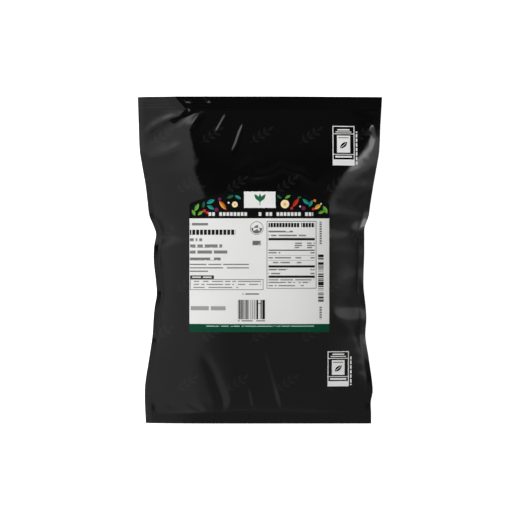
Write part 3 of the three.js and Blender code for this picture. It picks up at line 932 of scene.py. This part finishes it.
def label_print():
    """A printed paper label: plain bars and blocks where its words would be."""
    label = Finish("label_print")
    place = label.place()
    x, y, _ = label.split(place)
    cell = [(x / WORD_PITCH).math("FLOOR"), (y / COPY_PITCH).math("FLOOR")]
    cell = label.node("ShaderNodeCombineXYZ", inputs=cell)
    words = label.node("ShaderNodeTexWhiteNoise", {"noise_dimensions": "2D"}, {"Vector": cell}) > WORD_GAPS
    fleck = blocks(x, *FLECK_ACROSS) | blocks(y, *FLECK_UP)

    copy = any_box(x, y, COPY) & words & (fleck | FLECK_LEAST)
    solid = any_box(x, y, SOLID)
    for frame_lines in FRAMES:
        solid = solid | hollow(x, y, *frame_lines)
    solid = solid - (boxed(x, y, *DARK_BAR_WORDS) & words)

    title = boxed(x, y, *TITLE) & blocks(x, *TITLE_BLOCKS)
    heading = boxed(x, y, *HEADING) & blocks(x, *HEADING_BLOCKS) & (1 - boxed(x, y, *HEADING_GAP))
    weight = boxed(x, y, *WEIGHT) & (1 - boxed(x, y, *WEIGHT_GAP))

    stripes = label.chance(x / STRIPE_PITCH) > STRIPE_GAPS
    rungs = label.chance(y / RUNG_PITCH) > RUNG_GAPS
    bars = (boxed(x, y, *BAR_CODE) & stripes) | (boxed(x, y, *SIDE_CODE) & rungs)
    spine = any_box(x, y, SPINE) & blocks(y, *SPINE_BLOCKS)
    stamp = ring(x, y, *STAMP_PLACE, STAMP_RADIUS, STAMP_LINE)
    stamp = stamp | (disc(x, y, *STAMP_PLACE, STAMP_FILL) & (y < STAMP_LEVEL))
    stamp = abs(stamp - any_leaf(x, y, STAMP_LEAVES))
    pale = boxed(x, y, *PALE_BOX) & (hollow(x, y, *PALE_BOX, 0.5) | words)

    header = y > HEADER_LINE
    body = (solid | bars | title | heading) - header
    soft = (copy | spine | stamp | pale | weight * 0.7) & (1 - header)
    tint = label.noise(place, scale=0.09, detail=3)
    paper = label.mix(tint * 0.5, PAPER_WHITE, PAPER_SHADE)
    colour = label.mix(soft * SOFT_INK, paper, INK)
    colour = label.mix(body | 0.0, colour, INK)

    top = HEADER_BLACK
    for name, centre_x, centre_y, length, width, lean in MOTIF_LEAVES:
        shade = tuple(part * MOTIF_SHADE for part in MOTIF_COLOURS[name][:3]) + (1,)
        blade = leaf(x, y, centre_x, centre_y, length, width, lean)
        _, across = turned(x, y, centre_x, centre_y, lean)
        top = label.mix(blade, top, label.mix(across > 0, MOTIF_COLOURS[name], shade))
    for name, centre_x, centre_y, radius in MOTIF_DISCS:
        top = label.mix(disc(x, y, centre_x, centre_y, radius), top, MOTIF_COLOURS[name])
    row = boxed(x, y, *SLOGAN) & (blocks(x, *SLOGAN_BLOCKS) | 0.12)
    gaps = label.chance(x / SLOGAN_BLOCKS[0] + 0.5) > SLOGAN_GAPS
    top = label.mix(row & gaps, top, MOTIF_COLOURS["white"])
    wavy = label.noise(place, scale=0.9, detail=1) * PLATE_WAVE
    plate = abs(x - PLATE_PLACE[0]) < wavy + PLATE_REACH[0]
    plate = plate & (abs(y - PLATE_PLACE[1]) < wavy + PLATE_REACH[1])
    top = label.mix(plate, top, PAPER_WHITE)
    sprig = any_leaf(x, y, PLATE_LEAVES) | boxed(x, y, *PLATE_STEM)
    top = label.mix(sprig, top, MOTIF_COLOURS["pine"])
    colour = label.mix(header, colour, top)

    dashes = boxed(x, y, *BAND_WORDS) & words
    colour = label.mix(y < BAND_LINE, colour, label.mix(dashes * 0.7, BAND_GREEN, BAND_PALE))
    fibre = label.noise(place, scale=1.2, detail=3)
    return label.surface(
        Base_Color=colour,
        Roughness=fibre * PAPER_ROUGHNESS["fibre"] + PAPER_ROUGHNESS["least"],
        IOR=1.3,
        Specular_IOR_Level=0.12,
        Normal=label.bump(fibre, strength=0.2, distance=0.0001),
    )


BERRY_DARK = (0.009, 0.004, 0.007, 1)
BERRY_PURPLE = (0.035, 0.011, 0.018, 1)
BERRY_BLOOM = (0.09, 0.06, 0.085, 1)
BERRY_ROUGHNESS = {"least": 0.42, "wrinkle": 0.25}


def dried_berries():
    """Dark purple-black dried berries with a dusty bloom on their raised skins."""
    berries = Finish("dried_berries")
    place = berries.place()
    mottle = berries.noise(place, scale=0.35, detail=4)
    wrinkle = berries.noise(place, scale=1.4, detail=4, roughness=0.6)
    bloom = berries.noise(place, scale=0.8, detail=2).ramp(0.5, 0.75)
    skin = berries.mix(mottle.ramp(0.35, 0.65), BERRY_DARK, BERRY_PURPLE)
    return berries.surface(
        Base_Color=berries.mix(bloom * 0.35, skin, BERRY_BLOOM),
        Roughness=wrinkle * BERRY_ROUGHNESS["wrinkle"] + BERRY_ROUGHNESS["least"],
        Normal=berries.bump(wrinkle, strength=0.7, distance=0.0006),
    )


# ---------------------------------------------------------------------------------------------
# Stage: floor, backdrop, light and camera.
# ---------------------------------------------------------------------------------------------
STAGE_RADIUS = 9
FLOOR_GLOW = 0.85
FLOOR_DROP = 0.3


def stage_floor():
    """A pale floor that takes the pouch's shadow and that the film doesn't mirror."""
    deselect()
    low = (0, 0, -FLOOR_DROP * MM)
    bpy.ops.mesh.primitive_circle_add(vertices=96, radius=STAGE_RADIUS, fill_type="NGON", location=low)
    floor = bpy.context.object
    floor.name = "floor"
    floor.visible_glossy = False
    floor.visible_diffuse = False
    paper = Finish("floor_paper")
    floor.data.materials.append(paper.surface(
        Base_Color=grey(0.9),
        Roughness=0.9,
        Specular_IOR_Level=0.0,
        Emission_Color=grey(1),
        Emission_Strength=FLOOR_GLOW,
    ))


def stage_backdrop():
    """A plain pale backdrop that only the camera sees."""
    deselect()
    bpy.ops.mesh.primitive_uv_sphere_add(segments=48, ring_count=24, radius=STAGE_RADIUS)
    backdrop = bpy.context.object
    backdrop.name = "backdrop"
    for ray in ("diffuse", "glossy", "transmission", "volume_scatter", "shadow"):
        setattr(backdrop, "visible_" + ray, False)
    glow = Finish("backdrop_glow")
    shader = glow.node("ShaderNodeEmission", inputs={"Color": grey(1), "Strength": 1.0})
    glow.node("ShaderNodeOutputMaterial", inputs={"Surface": shader})
    backdrop.data.materials.append(glow.material)


# How bright each light of the room is.
PANEL_LEVEL = 0.57
WINDOW_LEVEL = 0.42
LAMP_LEVEL = 3.6
OVERHEAD_LEVEL = 1.8
HORIZON_LEVEL = 0.28
FRONT_LEVEL = 0.25
BEYOND_LEVEL = 0.03
UNDER_SHARE = 0.4

# Where the panel and the window start, by the slope of film that shows their edges from above.
PANEL_START = 0.2
PANEL_LEAN = 0.36
PANEL_LEAN_END = 0.62
WINDOW_START = 0.42
OVERHEAD_SIZE = (0.005, 0.013)


def studio_world():
    """The room that the film mirrors. Each direction in it is told by how the film would slope,
    across and along the pouch, to show it from straight above. There is a large soft panel to the
    left, a window with a lamp to the right, dim light in front and a small light overhead."""
    world = bpy.data.worlds.new("studio")
    bpy.context.scene.world = world
    world.use_nodes = True
    room = Finish("studio", world.node_tree)
    x, y, z = room.split(room.node("ShaderNodeTexCoord", output="Generated"))
    across = (0 - x) / (z + 1.001)
    along = (0 - y) / (z + 1.001)
    rise = along | 0.0
    horizon = (1 - z.ramp(0.1, 0.35)) * HORIZON_LEVEL
    rightward, falling = 0 - across, 0 - along

    panel_soft = 0.02 + rise.ramp(0.02, 0.15) * 0.13 - rise.ramp(0.3, 0.7) * 0.09
    panel_start = PANEL_START + along.ramp(-0.3, -0.22) * 0.05 + rise.ramp(0, 0.12) * 0.065
    panel_start = panel_start - (rise & PANEL_LEAN_END) * PANEL_LEAN
    panel = ((across - panel_start) / panel_soft).ramp(-1, 1)
    panel_level = PANEL_LEVEL + falling.ramp(0.12, 0.3) * 0.22
    panel_level = panel_level + falling.ramp(0.34, 0.58) * z.ramp(0.2, 0.45) * 1.6

    window_soft = along.ramp(-0.17, 0) * 0.2 + 0.03
    window_start = WINDOW_START + along.ramp(-0.09, 0) * 0.18 + falling.ramp(0.07, 0.25) * 0.11
    window = ((rightward - window_start) / window_soft).ramp(-1, 1) * (1 - along.ramp(0.05, 0.18))
    lamp = z.ramp(0.28, 0.38) * falling.ramp(0.14, 0.2) * (1 - falling.ramp(0.32, 0.4))
    window_level = WINDOW_LEVEL + falling.ramp(-0.03, 0.16) * 0.8
    window_level = window_level * (1 - rightward.ramp(0.8, 1.2) * 0.55) + lamp * LAMP_LEVEL

    front = along.ramp(-0.08, 0.02) * FRONT_LEVEL
    beyond = BEYOND_LEVEL + falling.ramp(0.2, 0.45) * 0.05 + along.ramp(-0.32, -0.12) * 0.06
    sides = room.blend(window, beyond | front, window_level)
    sides = room.blend(panel, sides, panel_level) | horizon
    overhead = 1 - (across * across + along * along).ramp(*OVERHEAD_SIZE)
    level = (sides + overhead * OVERHEAD_LEVEL) * (z.ramp(-0.3, 0) * (1 - UNDER_SHARE) + UNDER_SHARE)
    shader = room.node("ShaderNodeBackground", inputs={"Color": grey(1), "Strength": level})
    room.node("ShaderNodeOutputWorld", inputs={"Surface": shader})


def sun(name, energy, azimuth, elevation, angle):
    """A broad soft light from above, kept out of the film's reflections."""
    data = bpy.data.lights.new(name, "SUN")
    data.energy = energy
    data.angle = math.radians(angle)
    lamp = bpy.data.objects.new(name, data)
    towards = Vector((
        math.cos(math.radians(elevation)) * math.cos(math.radians(azimuth)),
        math.cos(math.radians(elevation)) * math.sin(math.radians(azimuth)),
        math.sin(math.radians(elevation)),
    ))
    lamp.rotation_euler = towards.to_track_quat("Z", "Y").to_euler()
    lamp.visible_glossy = False
    bpy.context.collection.objects.link(lamp)


FRAME_WIDTH = 0.484
CAMERA_HEIGHT = 3.4
SENSOR = 36


def camera():
    """Looks straight down, from far enough to show the pouch without much perspective."""
    data = bpy.data.cameras.new("camera")
    data.sensor_width = SENSOR
    data.lens = SENSOR * (CAMERA_HEIGHT - SEAM_HEIGHT_WAIST * MM) / FRAME_WIDTH
    view = bpy.data.objects.new("camera", data)
    view.location = (0, 0, CAMERA_HEIGHT)
    bpy.context.collection.objects.link(view)
    bpy.context.scene.camera = view


# ---------------------------------------------------------------------------------------------
# The scene.
# ---------------------------------------------------------------------------------------------
front_web = film_web("front_web", front_height, 1)
back_web = film_web("back_web", back_height, -1)
label_piece = paper_label()
heap = berry_heap()

front_web.data.materials.append(black_film("printed_film", True))
back_web.data.materials.append(black_film("plain_film", False))
label_piece.data.materials.append(label_print())
heap.data.materials.append(dried_berries())

for piece, node, slot in (
    (front_web, "front_panel", "film"),
    (back_web, "back_panel", "film"),
    (label_piece, "label", "label"),
    (heap, "contents", "berries"),
):
    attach(piece, "root")
    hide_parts(node)

stage_floor()
stage_backdrop()
studio_world()
sun("key_sun", energy=1.7, azimuth=152, elevation=50, angle=60)
sun("fill_sun", energy=0.42, azimuth=90, elevation=80, angle=100)
camera()
bpy.context.scene.view_settings.view_transform = "Standard"
